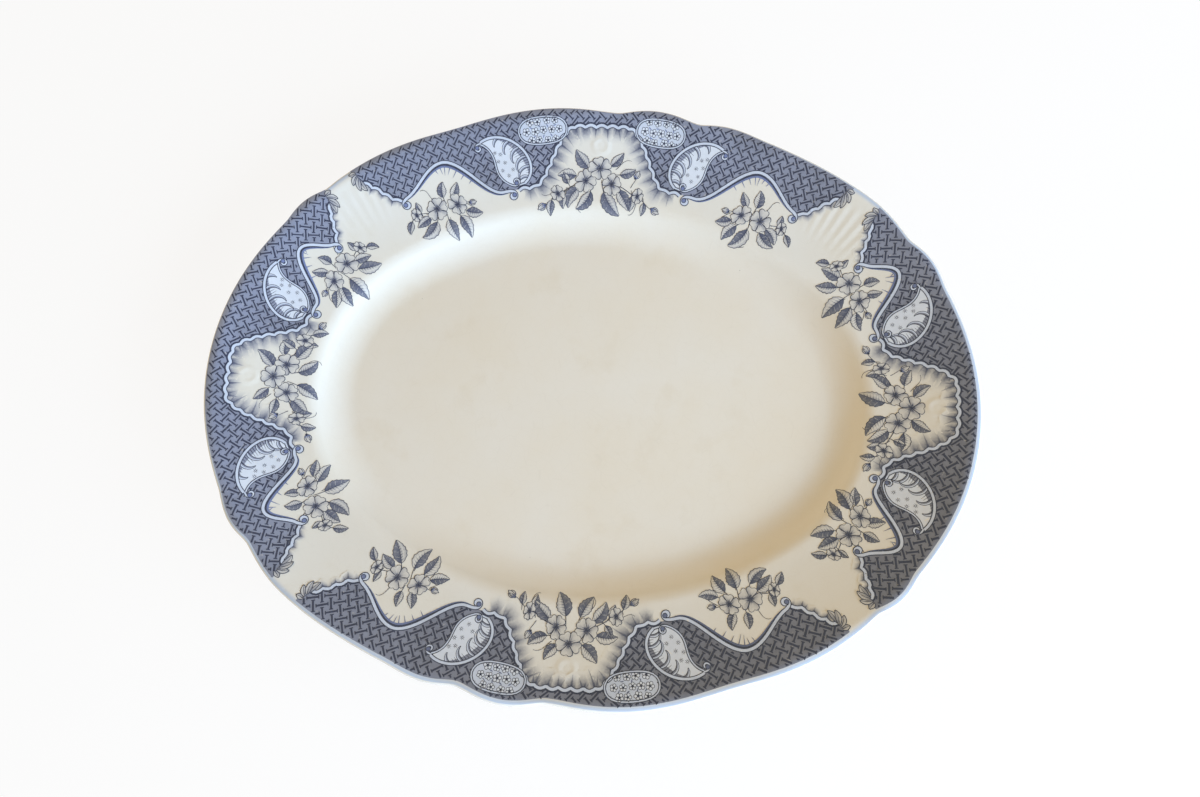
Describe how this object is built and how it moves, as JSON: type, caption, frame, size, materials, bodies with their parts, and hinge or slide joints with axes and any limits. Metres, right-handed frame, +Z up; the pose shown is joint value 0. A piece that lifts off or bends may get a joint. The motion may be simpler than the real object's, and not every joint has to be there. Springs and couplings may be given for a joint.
{
  "type": "meat platter",
  "caption": "Large oval earthenware meat platter with a shallow well, a broad scalloped rim, a printed border with flower sprays, and an oval foot ring.",
  "frame": {"origin": "on the table under the middle of the platter", "axes": "+X along the platter's length, +Y across it towards its north side, +Z up out of the well"},
  "size_m": [0.4198, 0.3328, 0.04],
  "materials": {
    "glazed_body": "clear lead glaze over cream earthenware, lightly crazed",
    "glazed_foot": "glazed at the sides, wiped where it stands",
    "print_ground": "slate blue printed ground under clear glaze",
    "print_line": "dark slate blue printed line under clear glaze",
    "print_tint": "pale blue printed tint under clear glaze"
  },
  "bodies": {
    "root": {"body": "glazed_body", "foot_ring": "glazed_foot", "border_print_north": "print_ground", "border_print_west": "print_ground", "border_print_south": "print_ground", "border_print_east": "print_ground", "spray_print_north": "print_line", "spray_print_west": "print_line", "spray_print_south": "print_line", "spray_print_east": "print_line", "spray_print_north_east_end": "print_line", "spray_print_north_east_side": "print_line", "spray_print_north_west_side": "print_line", "spray_print_north_west_end": "print_line", "spray_print_south_west_end": "print_line", "spray_print_south_west_side": "print_line", "spray_print_south_east_side": "print_line", "spray_print_south_east_end": "print_line"}
  },
  "joints": []
}
